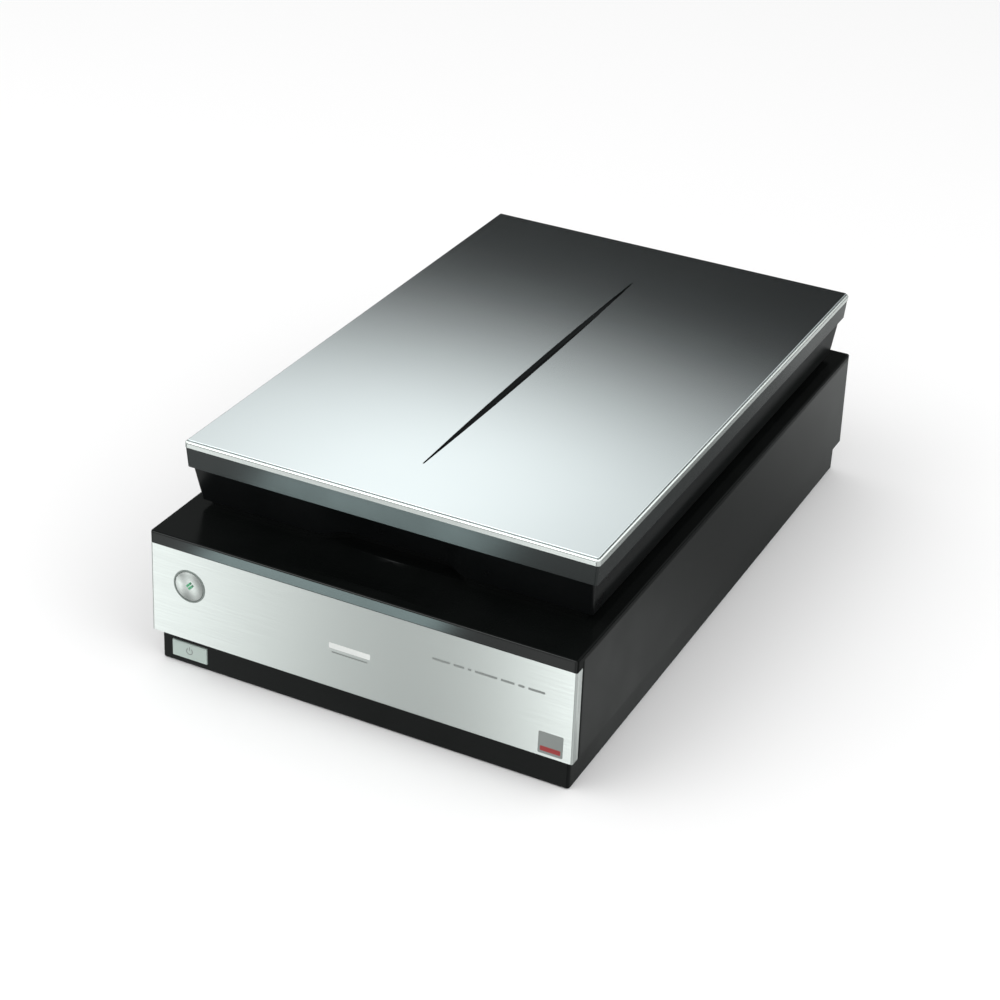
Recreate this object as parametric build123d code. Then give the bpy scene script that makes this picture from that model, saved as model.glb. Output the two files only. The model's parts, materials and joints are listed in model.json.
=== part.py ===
from build123d import *
import math
import os

# Flatbed photo scanner with a transparency lid.
# Millimetres. X across, Y from the front (-) to the hinges (+), Z up.
# The origin is on the table under the middle of the whole machine.

# ---- overall sizes -------------------------------------------------------
WIDTH = 308.0
DEPTH = 503.0
HEIGHT = 152.0
WALL = 2.5
SKIN = 1.8
MOVING_GAP = 0.3
SHAFT_GAP = 0.05

# ---- base casing ---------------------------------------------------------
HALF_W = WIDTH / 2
FRONT = -DEPTH / 2
CASE_REAR = 245.0
FOOT_DROP = 1.0
FLOOR_TOP = FOOT_DROP + WALL
PLINTH_HALF_W = 150.2
PLINTH_FRONT = FRONT + 6.0
PLINTH_REAR = 244.0
PLINTH_TOP = 24.0
SIDE_FLARE = 0.8
REAR_FLARE = 2.5
RIM_HALF_W = HALF_W - SIDE_FLARE
SIDE_TOP = 95.6
RIM_TOP = 100.0
PLATFORM_TOP = 104.5
LIP_BOTTOM = 91.6
CASE_FRONT = FRONT + 8.3
CORNER_R = 2.0
LEDGE_DEPTH = 46.0
PLATFORM_HALF_W = 138.0
PLATFORM_REAR = 226.0
DISH_HALF_W = 62.0
DISH_DROP = 5.0
BAY_HALF_FLAT = 30.0
BAY_HALF_FOOT = 58.0
NOTCH_DEPTH = 12.0

# ---- platen --------------------------------------------------------------
WINDOW_HALF_W = 108.0
WINDOW_Y = (-158.0, 142.0)
GLASS_EDGE = 10.0
GLASS_THICK = 2.8
GLASS_TOP = PLATFORM_TOP - SKIN

# ---- front fascia and buttons --------------------------------------------
FASCIA_HALF_W = (153.9, 153.1)
FASCIA_FACE = FRONT + 0.3
FASCIA_Z = (24.0, 91.0)
FASCIA_THICK = 2.0
FASCIA_RETURN = 8.0
START_X = -124.0
START_Z = 66.0
START_R = 10.5
BEZEL_R = 11.9
PRESS = 1.2
POWER_X = (-142.3, -114.8)
POWER_Z = (4.6, 17.4)
BOARD_FACE = FRONT + 22.0
SWITCH_H = 4.4

# ---- carriage ------------------------------------------------------------
HOME_Y = 150.0
CARRIAGE_HALF_D = 44.0
CARRIAGE_X = (-124.0, 118.0)
CARRIAGE_Z = (38.0, 95.0)
ROD_X = -112.0
ROD_Z = 52.0
ROD_R = 4.0
ROD_HALF_L = 222.0
RAIL_Z = 46.0

# ---- carriage drive ------------------------------------------------------
BELT_X = -40.0
PULLEY_Y = 222.0
PULLEY_R = 7.3
BELT_GAP = 0.3
BELT_THICK = 1.2
BELT_Z = (27.0, 33.5)
REDUCTION_R = 15.5
PINION_R = 5.5
PINION_X = 12.0
REDUCTION_Z = (12.0, 20.0)
SHAFT_R = 2.0
MOTOR_R = 16.0

# ---- hinges --------------------------------------------------------------
HINGE_X = 88.0
HINGE_Y = 243.5
HINGE_Z = 112.0
KNUCKLE_R = 8.0
KNUCKLE_HALF_W = 6.0
LEG_HALF_W = 13.0
LEG_Y = (229.0, 241.0)
LEG_Z = (30.0, 101.0)
PIN_R = 2.5
SOCKET_FLOOR = 26.5

# ---- lid -----------------------------------------------------------------
LID_HALF_W = 147.0
LID_FRONT = -216.0
LID_REAR = 238.5
LID_BOTTOM = 105.0
BAND_BOTTOM = 132.3
BAND_FLARE = 0.9
TRIM_BOTTOM = 146.8
TRIM_TOP = 150.9
TRIM_OUT = 1.3
BAND_STEP = 2.5
SKIRT_TAPER_X = 2.4
SKIRT_TAPER_Y = 6.5
PLATE_INSET = 0.4
TRIM_GROOVE = 0.35
BAY_DEPTH = 8.0
ARCH_RISE = 3.0
SLOT_Y = (-165.0, 169.0)
SLOT_HALF_W = 3.0
SLOT_TIP = 0.55
SLOT_DROP = 2.2
RECESS_HALF_W = 119.0
RECESS_Y = (-169.0, 165.0)
RECESS_TOP = 112.0
MAT_HALF_W = 112.0
MAT_Y = (-156.0, 164.0)
MAT_Z = (105.2, 111.4)
FILM_WINDOW_HALF_W = 103.0
FILM_WINDOW_Y = (-130.0, 130.0)
FILM_HOME_Y = 160.0
FILM_ROD_X = -104.0
FILM_ROD_Z = 124.0
FILM_ROD_R = 3.0
FILM_BELT_X = -125.0
FILM_PULLEY_Y = (-178.0, 196.0)
FILM_PULLEY_R = 5.0
FILM_BELT_Z = (128.0, 132.0)


def block(x, y, z):
    """A box between two corners, given as three (low, high) pairs."""
    size = Box(x[1] - x[0], y[1] - y[0], z[1] - z[0])
    return Pos((x[0] + x[1]) / 2, (y[0] + y[1]) / 2, (z[0] + z[1]) / 2) * size


def disc(x, y, z, radius):
    """An upright cylinder standing from z[0] to z[1]."""
    return Pos(x, y, (z[0] + z[1]) / 2) * Cylinder(radius, z[1] - z[0])


def bar_x(x, y, z, radius):
    """A cylinder along X from x[0] to x[1]."""
    return Pos((x[0] + x[1]) / 2, y, z) * Rot(0, 90, 0) * Cylinder(radius, x[1] - x[0])


def bar_y(x, y, z, radius):
    """A cylinder along Y from y[0] to y[1]."""
    return Pos(x, (y[0] + y[1]) / 2, z) * Rot(90, 0, 0) * Cylinder(radius, y[1] - y[0])


def slab(half_w, y, z, radius):
    """A plate centred on X with rounded upright edges."""
    outline = Pos(0, (y[0] + y[1]) / 2) * RectangleRounded(2 * half_w, y[1] - y[0], radius)
    return Pos(0, 0, z[0]) * extrude(outline, z[1] - z[0])


def tapered(low, high, radius):
    """A ruled block between two level rounded rectangles, each (half width, y, z)."""
    faces = []
    for half_w, y, z in (low, high):
        outline = RectangleRounded(2 * half_w, y[1] - y[0], radius)
        faces.append(Pos(0, (y[0] + y[1]) / 2, z) * outline)
    return loft(faces, ruled=True)


def belt(ends, thick, z):
    """A flat belt round two level circles, each (x, y, radius)."""
    loops = []
    for grow in (thick, 0):
        circles = Sketch()
        for x, y, radius in ends:
            circles += Pos(x, y) * Circle(radius + grow)
        loops.append(make_hull(circles.edges()))
    return Pos(0, 0, z[0]) * extrude(loops[0] - loops[1], z[1] - z[0])


def toothed(radius, z, teeth):
    """A timing wheel with shallow tooth gaps cut along it."""
    wheel = disc(0, 0, z, radius)
    gap = 0.45 * math.pi * radius / teeth
    for i in range(teeth):
        turn = Rot(0, 0, i * 360 / teeth)
        wheel -= turn * block((radius - 0.7, radius + 1), (-gap, gap), (z[0] - 1, z[1] + 1))
    return wheel


# ---- base ----------------------------------------------------------------
CASE_POSTS = [(sx * 143.0, y) for sx in (-1, 1) for y in (-232.0, 0.0, 232.0)]
POST_R = 5.0
POST_TOP = 80.0
SCREW_SEAT = 76.0
FEET = [(sx * 128.0, y) for sx in (-1, 1) for y in (-222.0, 218.0)]
FOOT_R = 9.0
FOOT_TOP = 2.8
CASE_INNER = 151.2

PORT_FACE = PLINTH_REAR
PORTS = {
    "dc_jack": (46.0, 10.0, 10.0),
    "usb_port": (66.0, 12.0, 11.0),
    "firewire_left": (88.0, 13.0, 8.5),
    "firewire_right": (106.0, 13.0, 8.5),
    "film_unit_port": (124.0, 13.0, 12.0),
}
BOARD_Z = (7.0, 8.6)
PORT_DEPTH = 14.0


def port_span(name, grow=0.0):
    """The X and Z limits of a socket's body."""
    x, w, h = PORTS[name]
    return ((x - w / 2 - grow, x + w / 2 + grow), (BOARD_Z[1] - grow, BOARD_Z[1] + h + grow))


def lower_case():
    side_low = (HALF_W, (CASE_FRONT, CASE_REAR + REAR_FLARE), PLINTH_TOP)
    side_high = (RIM_HALF_W, (CASE_FRONT, CASE_REAR), SIDE_TOP)
    case = slab(PLINTH_HALF_W, (PLINTH_FRONT, PLINTH_REAR), (FOOT_DROP, PLINTH_TOP + 0.1), CORNER_R)
    case += tapered(side_low, side_high, CORNER_R)
    low_y = (PLINTH_FRONT + WALL, PLINTH_REAR - WALL)
    step_y = (CASE_FRONT + WALL, PLINTH_REAR - WALL)
    high_y = (CASE_FRONT + WALL, CASE_REAR - WALL)
    case -= slab(PLINTH_HALF_W - WALL, low_y, (FLOOR_TOP, PLINTH_TOP - WALL), 1.0)
    case -= slab(PLINTH_HALF_W - WALL, step_y, (PLINTH_TOP - WALL - 1, SIDE_TOP), 1.0)
    case -= slab(CASE_INNER, high_y, (PLINTH_TOP + WALL, SIDE_TOP + 1), 1.0)
    for x, y in CASE_POSTS:
        case += disc(x, y, (FOOT_DROP, POST_TOP), POST_R)
        case -= disc(x, y, (0, SCREW_SEAT), 3.4)
        case -= disc(x, y, (0, POST_TOP + 1), 1.7)
    for x, y in FEET:
        case -= disc(x, y, (0, FOOT_TOP), FOOT_R + 0.1)
    # shallow ribs stiffen the floor
    for y in (-180.0, -110.0, -40.0, 30.0, 100.0):
        case += block((-146.0, -60.0), (y, y + 2), (FLOOR_TOP - 0.5, FLOOR_TOP + 5))
        case += block((-20.0, 120.0), (y, y + 2), (FLOOR_TOP - 0.5, FLOOR_TOP + 5))
    # button openings in the front wall
    case -= block(POWER_X, (PLINTH_FRONT - 1, PLINTH_FRONT + WALL + 1), POWER_Z)
    case -= bar_y(START_X, (CASE_FRONT - 1, CASE_FRONT + WALL + 1), START_Z, 3.0)
    for name in PORTS:
        x, z = port_span(name, 0.2)
        case -= block(x, (PLINTH_REAR - 5, PLINTH_REAR + 1), z)
    # window for the transport lock's thumb piece
    case -= block(LOCK_WINDOW_X, (CASE_REAR - 5, CASE_REAR + 5), LOCK_WINDOW_Z)
    for x, z in BOARD_POSTS:
        case += bar_y(x, (CASE_FRONT + 1, BOARD_FACE), z, 3.0)
    return case


def s_curve(half_flat, half_foot, low, high):
    """Edges that rise from low to high and fall again, with S-shaped flanks."""
    middle = (half_flat + half_foot) / 2
    left = Bezier((-half_foot, low), (-middle, low), (-middle, high), (-half_flat, high))
    right = Bezier((half_flat, high), (middle, high), (middle, low), (half_foot, low))
    return [left, Line(left @ 1, right @ 0), right]


def bay(y, depth, z):
    """A hollow open to the front, cut back by depth, seen from above."""
    edges = s_curve(BAY_HALF_FLAT, BAY_HALF_FOOT, 0, depth)
    mouth = [(BAY_HALF_FOOT, 0), (BAY_HALF_FOOT, -20), (-BAY_HALF_FOOT, -20), (-BAY_HALF_FOOT, 0)]
    edges.append(Polyline(*mouth))
    return Pos(0, y, z) * make_face(edges)


def dish():
    """The shallow finger dish in the front ledge."""
    y = (FRONT + 8.0, FRONT + LEDGE_DEPTH + 1.3)
    shares = [(-1.0, 0.01), (-0.72, 0.5), (-0.45, 1.0), (0.45, 1.0), (0.72, 0.5), (1.0, 0.01)]
    sections = []
    for across, share in shares:
        floor = RIM_TOP - DISH_DROP * share
        arc = ThreePointArc((y[0], RIM_TOP), ((y[0] + y[1]) / 2, floor), (y[1], RIM_TOP))
        top = Polyline((y[1], RIM_TOP), (y[1], RIM_TOP + 2), (y[0], RIM_TOP + 2), (y[0], RIM_TOP))
        sections.append(Plane.YZ.offset(across * DISH_HALF_W) * make_face([arc, top]))
    return loft(sections)


def top_cover():
    cover = slab(RIM_HALF_W, (FRONT, CASE_REAR), (SIDE_TOP, RIM_TOP), CORNER_R)
    lip = slab(RIM_HALF_W, (FRONT, FRONT + 30), (LIP_BOTTOM, RIM_TOP), CORNER_R)
    lip -= block((-200, 200), (CASE_FRONT - 0.4, 0), (80, 110))
    cover += lip
    rim = cover.edges().filter_by(Plane.XY).group_by(Axis.Z)[-1]
    cover = fillet(rim, 1.3)
    dish_x = (-DISH_HALF_W, DISH_HALF_W)
    dish_y = (CASE_FRONT + 4, FRONT + LEDGE_DEPTH)
    cover += block(dish_x, dish_y, (RIM_TOP - DISH_DROP - WALL - 2, RIM_TOP - 1))
    cover -= dish()
    platform_y = (FRONT + LEDGE_DEPTH + 1.5, PLATFORM_REAR)
    cover += slab(PLATFORM_HALF_W, platform_y, (RIM_TOP - 1, PLATFORM_TOP), 4.0)
    # hollow below
    inside_y = (FRONT + LEDGE_DEPTH + 4, CASE_REAR - WALL)
    cover -= slab(CASE_INNER, inside_y, (SIDE_TOP - 1, RIM_TOP - WALL), 1.0)
    cover -= slab(PLATFORM_HALF_W - WALL, (platform_y[0] + WALL, platform_y[1] - WALL),
                  (SIDE_TOP, GLASS_TOP), 2.0)
    cover -= slab(WINDOW_HALF_W, WINDOW_Y, (SIDE_TOP, PLATFORM_TOP + 1), 2.0)
    # finger notch in the platform's front edge
    backing_y = (platform_y[0] + 1, platform_y[0] + NOTCH_DEPTH + WALL)
    cover += block(dish_x, backing_y, (RIM_TOP - WALL, PLATFORM_TOP - 0.2))
    cover -= extrude(bay(platform_y[0], NOTCH_DEPTH, RIM_TOP), 10)
    # locating tongue inside the side walls
    tongue = slab(CASE_INNER - 0.2, (CASE_FRONT + WALL + 0.2, CASE_REAR - WALL - 0.2), (90, 98), 1.0)
    tongue -= slab(CASE_INNER - 1.8, (CASE_FRONT + 4.4, CASE_REAR - 4.4), (80, 110), 1.0)
    for side in (-1, 1):
        x = (side * HINGE_X - LEG_HALF_W - 3, side * HINGE_X + LEG_HALF_W + 3)
        tongue -= block(x, (LEG_Y[0] - 5, CASE_REAR), (80, 99))
    cover += tongue
    for x, y in CASE_POSTS:
        cover += disc(x, y, (POST_TOP, RIM_TOP - 1), POST_R)
        cover -= disc(x, y, (POST_TOP - 1, POST_TOP + 15), 1.52)
    for side in (-1, 1):
        x = (side * HINGE_X - LEG_HALF_W - MOVING_GAP, side * HINGE_X + LEG_HALF_W + MOVING_GAP)
        cover -= block(x, (LEG_Y[0] - MOVING_GAP, LEG_Y[1] + MOVING_GAP), (80, 110))
    return cover


def front_fascia():
    y = (FASCIA_FACE, FASCIA_FACE + 40)
    panel = tapered((FASCIA_HALF_W[0], y, FASCIA_Z[0]), (FASCIA_HALF_W[1], y, FASCIA_Z[1]), 1.2)
    panel -= block((-200, 200), (FRONT + FASCIA_RETURN, 0), (0, 110))
    hollow_x = (FASCIA_THICK - FASCIA_HALF_W[1], FASCIA_HALF_W[1] - FASCIA_THICK)
    hollow_y = (FASCIA_FACE + FASCIA_THICK, 0)
    panel -= block(hollow_x, hollow_y, (FASCIA_Z[0] + 1.6, FASCIA_Z[1] + 1))
    panel -= block(hollow_x, (PLINTH_FRONT - 0.2, 0), (0, 50))
    panel -= bar_y(START_X, (FRONT - 1, FRONT + 5), START_Z, BEZEL_R + 0.05)
    return panel


def start_button_bezel():
    ring = bar_y(START_X, (FRONT, FRONT + 3.6), START_Z, BEZEL_R)
    ring += bar_y(START_X, (FASCIA_FACE + FASCIA_THICK, FRONT + 3.6), START_Z, BEZEL_R + 1.5)
    ring -= bar_y(START_X, (FRONT - 1, FRONT + 5), START_Z, START_R + MOVING_GAP)
    return ring


def start_button():
    cap = bar_y(START_X, (FRONT + 0.1, FRONT + 4.2), START_Z, START_R)
    cap += bar_y(START_X, (FRONT + 4.1, FRONT + 5.6), START_Z, START_R + 1.4)
    dish_r = 70.0
    cap -= Pos(START_X, FRONT + 0.9 - dish_r, START_Z) * Sphere(dish_r)
    cap += bar_y(START_X, (FRONT + 5, BOARD_FACE - SWITCH_H - PRESS - MOVING_GAP), START_Z, 2.6)
    return cap


def power_button():
    x = (POWER_X[0] + MOVING_GAP, POWER_X[1] - MOVING_GAP)
    z = (POWER_Z[0] + MOVING_GAP, POWER_Z[1] - MOVING_GAP)
    cap = block(x, (PLINTH_FRONT - 1.0, PLINTH_FRONT + 4), z)
    cap = fillet(cap.faces().sort_by(Axis.Y)[0].edges(), 0.6)
    flange_y = (PLINTH_FRONT + WALL + MOVING_GAP, PLINTH_FRONT + 4)
    cap += block((x[0] - 1.0, x[1] + 1.0), flange_y, (z[0], z[1] + 1.5))
    middle = (x[0] + x[1]) / 2
    stem_y = (PLINTH_FRONT + 3, BOARD_FACE - SWITCH_H - PRESS - MOVING_GAP)
    cap += bar_y(middle, stem_y, (z[0] + z[1]) / 2, 2.2)
    return cap


POWER_MID_X = (POWER_X[0] + POWER_X[1]) / 2
POWER_MID_Z = (POWER_Z[0] + POWER_Z[1]) / 2
BOARD_POSTS = [(-106.0, 76.0), (-106.0, 34.0), (-133.0, 42.0)]


def control_board():
    board = block((-137.5, -102.0), (BOARD_FACE, BOARD_FACE + 1.6), (6.0, 80.0))
    for x, z in ((START_X, START_Z), (POWER_MID_X, POWER_MID_Z)):
        board += block((x - 3, x + 3), (BOARD_FACE - SWITCH_H + 0.9, BOARD_FACE), (z - 3, z + 3))
        board += bar_y(x, (BOARD_FACE - SWITCH_H, BOARD_FACE - 3), z, 1.7)
    board += block((-128.0, -112.0), (BOARD_FACE + 1.6, BOARD_FACE + 7), (26.0, 32.0))
    return board


def rubber_feet():
    feet = Part()
    for x, y in FEET:
        foot = disc(x, y, (0, FOOT_TOP), FOOT_R)
        feet += chamfer(foot.edges().group_by(Axis.Z)[0], 0.6)
    return feet


def case_screws():
    screws = Part()
    for x, y in CASE_POSTS:
        screw = disc(x, y, (SCREW_SEAT - 2.2, SCREW_SEAT), 3.0)
        screw += disc(x, y, (SCREW_SEAT, SCREW_SEAT + 18), 1.5)
        slot = (SCREW_SEAT - 3, SCREW_SEAT - 1.2)
        screw -= block((x - 1.8, x + 1.8), (y - 0.4, y + 0.4), slot)
        screw -= block((x - 0.4, x + 0.4), (y - 1.8, y + 1.8), slot)
        screws += screw
    return screws


def platen_glass():
    y = (WINDOW_Y[0] - GLASS_EDGE, WINDOW_Y[1] + GLASS_EDGE)
    return slab(WINDOW_HALF_W + GLASS_EDGE, y, (GLASS_TOP - GLASS_THICK, GLASS_TOP), 1.0)


def calibration_strip():
    below = GLASS_TOP - GLASS_THICK
    x = (-WINDOW_HALF_W + 2, WINDOW_HALF_W - 2)
    return block(x, (WINDOW_Y[1] - 2, WINDOW_Y[1] + 8), (below - 0.4, below))


# ---- carriage guides and drive -------------------------------------------
def guide_rod():
    rod = bar_y(ROD_X, (-ROD_HALF_L, ROD_HALF_L), ROD_Z, ROD_R)
    return chamfer(rod.edges(), 0.5)


def rod_saddles():
    saddles = Part()
    for side in (-1, 1):
        y = sorted((side * (ROD_HALF_L - 10), side * ROD_HALF_L))
        saddle = block((ROD_X - 7, ROD_X + 7), y, (FLOOR_TOP, ROD_Z + 8))
        saddle += block((ROD_X - 7, ROD_X + 7), sorted((side * (ROD_HALF_L - 20), y[1])), (FLOOR_TOP, 8.0))
        saddle -= bar_y(ROD_X, (y[0] - 1, y[1] + 1), ROD_Z, ROD_R + SHAFT_GAP)
        saddles += saddle
    return saddles


def guide_rail():
    y = (-ROD_HALF_L, ROD_HALF_L)
    rail = block((119.0, 136.0), y, (RAIL_Z - 2, RAIL_Z))
    rail += block((134.0, 136.0), y, (FLOOR_TOP + 5.4, RAIL_Z))
    for y0 in (-222.0, -105.0, 5.0, 115.0, 196.0):
        rail += block((124.0, 136.0), (y0, y0 + 12), (FLOOR_TOP, FLOOR_TOP + 2))
        rail += block((134.0, 136.0), (y0, y0 + 12), (FLOOR_TOP, FLOOR_TOP + 6))
    return rail


def drive_belt():
    radius = PULLEY_R + BELT_GAP
    ends = [(BELT_X, -PULLEY_Y, radius), (BELT_X, PULLEY_Y, radius)]
    return belt(ends, BELT_THICK, BELT_Z)


def reduction_belt():
    ends = [(BELT_X, PULLEY_Y, REDUCTION_R + BELT_GAP), (PINION_X, PULLEY_Y, PINION_R + BELT_GAP)]
    return belt(ends, BELT_THICK, (REDUCTION_Z[0] + 1, REDUCTION_Z[1] - 1))


def belt_wheel():
    wheel = toothed(PULLEY_R, (BELT_Z[0] - 1, BELT_Z[1] + 1), 18)
    wheel += disc(0, 0, (BELT_Z[0] - 1, BELT_Z[0] - 0.3), PULLEY_R + 2)
    wheel += disc(0, 0, (BELT_Z[1] + 0.3, BELT_Z[1] + 1), PULLEY_R + 2)
    return wheel


def drive_pulley():
    wheel = belt_wheel()
    wheel += toothed(REDUCTION_R, REDUCTION_Z, 44)
    for z in (REDUCTION_Z[0], REDUCTION_Z[1] - 0.7):
        wheel += disc(0, 0, (z, z + 0.7), REDUCTION_R + 1.0)
    wheel += disc(0, 0, (REDUCTION_Z[0] - 3, BELT_Z[0]), 4.0)
    for i in range(5):
        wheel -= Rot(0, 0, 72 * i) * disc(10.5, 0, (REDUCTION_Z[0] - 1, REDUCTION_Z[1] + 1), 3.2)
    wheel -= disc(0, 0, (0, 60), SHAFT_R + SHAFT_GAP)
    return Pos(BELT_X, PULLEY_Y, 0) * wheel


def idler_pulley():
    wheel = belt_wheel() - disc(0, 0, (0, 60), SHAFT_R + SHAFT_GAP)
    return Pos(BELT_X, -PULLEY_Y, 0) * wheel


def motor_pulley():
    wheel = toothed(PINION_R, REDUCTION_Z, 14)
    for z in (REDUCTION_Z[0], REDUCTION_Z[1] - 0.7):
        wheel += disc(0, 0, (z, z + 0.7), PINION_R + 1.6)
    wheel += disc(0, 0, (REDUCTION_Z[0], 30), 1.5)
    return Pos(PINION_X, PULLEY_Y, 0) * wheel


def pulley_shafts():
    shafts = disc(BELT_X, PULLEY_Y, (FLOOR_TOP, BELT_Z[1] + 2.5), SHAFT_R)
    shafts += disc(BELT_X, PULLEY_Y, (FLOOR_TOP, REDUCTION_Z[0] - 3.3), 5.0)
    shafts += disc(BELT_X, -PULLEY_Y, (FLOOR_TOP + 18, BELT_Z[1] + 2.5), SHAFT_R)
    return shafts


BRACKET_Z = (21.4, 23.4)


def motor_bracket():
    plate = block((-66.0, 35.0), (PULLEY_Y - 16, PULLEY_Y + 16), BRACKET_Z)
    for x in (-62.0, 31.0):
        for y in (PULLEY_Y - 12, PULLEY_Y + 12):
            plate += disc(x, y, (FLOOR_TOP, BRACKET_Z[0]), 3.5)
    plate -= disc(BELT_X, PULLEY_Y, (BRACKET_Z[0] - 1, BRACKET_Z[1] + 1), 5.0)
    plate -= disc(PINION_X, PULLEY_Y, (BRACKET_Z[0] - 1, BRACKET_Z[1] + 1), 5.0)
    return plate


def stepper_motor():
    body = disc(PINION_X, PULLEY_Y, (BRACKET_Z[1], 46.0), MOTOR_R)
    body = fillet(body.edges(), 1.0)
    body += disc(PINION_X, PULLEY_Y, (46.0, 48.0), 5.0)
    body += block((PINION_X - 8, PINION_X + 8), (PULLEY_Y - 16.4, PULLEY_Y), (27.0, 34.0))
    body -= disc(PINION_X, PULLEY_Y, (BRACKET_Z[1] - 1, 32), 2.0)
    return body


def tension_bracket():
    front = -PULLEY_Y - 12
    top = FLOOR_TOP + 18
    plate = block((BELT_X - 16, BELT_X + 16), (front, front + 28), (top - 2, top))
    for x in (BELT_X - 12, BELT_X + 12):
        plate += block((x - 3, x + 3), (front + 2, front + 26), (FLOOR_TOP, top - 2))
    plate += block((BELT_X - 5, BELT_X + 5), (front, front + 2), (FLOOR_TOP + 6, top - 1))
    return plate


def tension_spring():
    """A compression spring between the tensioner and the front wall."""
    y0 = PLINTH_FRONT + WALL
    length = -PULLEY_Y - 12 - y0
    turns = 5
    coil = Helix(pitch=length / turns, height=length - 1.2, radius=3.0)
    wire = Plane(origin=coil @ 0, z_dir=coil % 0) * Circle(0.45)
    spring = sweep(wire, path=coil)
    return Pos(BELT_X, y0 + 0.6, FLOOR_TOP + 11) * Rot(-90, 0, 0) * spring


# ---- main board and sockets ----------------------------------------------
def main_board():
    board = block((37.0, 132.0), (140.0, PLINTH_REAR - WALL - 0.6), BOARD_Z)
    chips = [(60.0, 175.0, 7.0), (92.0, 172.0, 9.0), (112.0, 198.0, 5.0), (58.0, 205.0, 4.5)]
    chip_z = (BOARD_Z[1] - 0.1, BOARD_Z[1] + 2.4)
    for x, y, half in chips:
        board += block((x - half, x + half), (y - half, y + half), chip_z)
    for x in (44.0, 52.0, 120.0):
        board += disc(x, 152.0, (BOARD_Z[1] - 0.1, BOARD_Z[1] + 11), 3.6)
    for x, y in ((41.0, 144.0), (128.0, 144.0), (41.0, 216.0), (128.0, 216.0)):
        board += disc(x, y, (FLOOR_TOP, BOARD_Z[0] + 0.1), 2.5)
    return board


def socket(name, hole_w, hole_h, tongue_h):
    """A rectangular socket with a contact tongue in its inner half."""
    x, z = port_span(name)
    shell = block(x, (PORT_FACE - PORT_DEPTH, PORT_FACE), z)
    mid_x = (x[0] + x[1]) / 2
    mid_z = (z[0] + z[1]) / 2
    hole_x = (mid_x - hole_w / 2, mid_x + hole_w / 2)
    hole_z = (mid_z - hole_h / 2, mid_z + hole_h / 2)
    shell -= block(hole_x, (PORT_FACE - PORT_DEPTH + 2, PORT_FACE + 1), hole_z)
    tongue_z = (mid_z - tongue_h / 2, mid_z + tongue_h / 2)
    tongue_x = (mid_x - hole_w / 2 + 1.4, mid_x + hole_w / 2 - 1.4)
    shell += block(tongue_x, (PORT_FACE - PORT_DEPTH + 1, PORT_FACE - 6.5), tongue_z)
    return shell


def usb_port():
    return socket("usb_port", 8.5, 7.8, 3.2)


def firewire_ports():
    return socket("firewire_left", 11.0, 6.2, 2.0) + socket("firewire_right", 11.0, 6.2, 2.0)


def round_socket(name, hole_r, pins, pin_r):
    x, z = port_span(name)
    shell = block(x, (PORT_FACE - PORT_DEPTH, PORT_FACE), z)
    mid_x = (x[0] + x[1]) / 2
    mid_z = (z[0] + z[1]) / 2
    shell -= bar_y(mid_x, (PORT_FACE - PORT_DEPTH + 2, PORT_FACE + 1), mid_z, hole_r)
    for dx, dz in pins:
        shell += bar_y(mid_x + dx, (PORT_FACE - PORT_DEPTH + 1, PORT_FACE - 6.5), mid_z + dz, pin_r)
    return shell


def dc_jack():
    return round_socket("dc_jack", 3.4, [(0, 0)], 1.0)


def film_unit_port():
    ring = [(3.0 * math.cos(a), 3.0 * math.sin(a)) for a in [math.radians(20 + 46 * i) for i in range(8)]]
    return round_socket("film_unit_port", 4.8, ring, 0.5)


# ---- transport lock ------------------------------------------------------
LOCK_WINDOW_X = (-134.0, -116.0)
LOCK_WINDOW_Z = (52.0, 62.0)
LOCK_TRAVEL = 9.0
LOCK_FACE = CASE_REAR + 2.1


def transport_lock():
    thumb_x = (LOCK_WINDOW_X[0] + MOVING_GAP, LOCK_WINDOW_X[1] - MOVING_GAP - LOCK_TRAVEL)
    thumb_z = (LOCK_WINDOW_Z[0] + MOVING_GAP, LOCK_WINDOW_Z[1] - MOVING_GAP)
    inner = CASE_REAR - WALL
    lock = block(thumb_x, (inner - 1.5, LOCK_FACE), thumb_z)
    for i in range(3):
        x = thumb_x[0] + 2.0 + 2.2 * i
        lock -= block((x, x + 0.9), (LOCK_FACE - 0.6, LOCK_FACE + 1), thumb_z)
    plate_x = (thumb_x[0] - LOCK_TRAVEL, thumb_x[1] + LOCK_TRAVEL + 0.5)
    plate_z = (LOCK_WINDOW_Z[0] - 3, LOCK_WINDOW_Z[1] + 3)
    lock += block(plate_x, (inner - 1.8, inner - MOVING_GAP), plate_z)
    return lock


# ---- scanning carriage ---------------------------------------------------
LIGHT_SLOT_HALF = 7.0
CARRIAGE_Y = (HOME_Y - CARRIAGE_HALF_D, HOME_Y + CARRIAGE_HALF_D)
INNER_X = (CARRIAGE_X[0] + 2.2, CARRIAGE_X[1] - 2.2)
INNER_Y = (CARRIAGE_Y[0] + 2.2, CARRIAGE_Y[1] - 2.2)
LAMP_Z = 91.5
LAMP_OFFSET = 14.0
LAMP_HALF_L = 106.0


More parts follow.
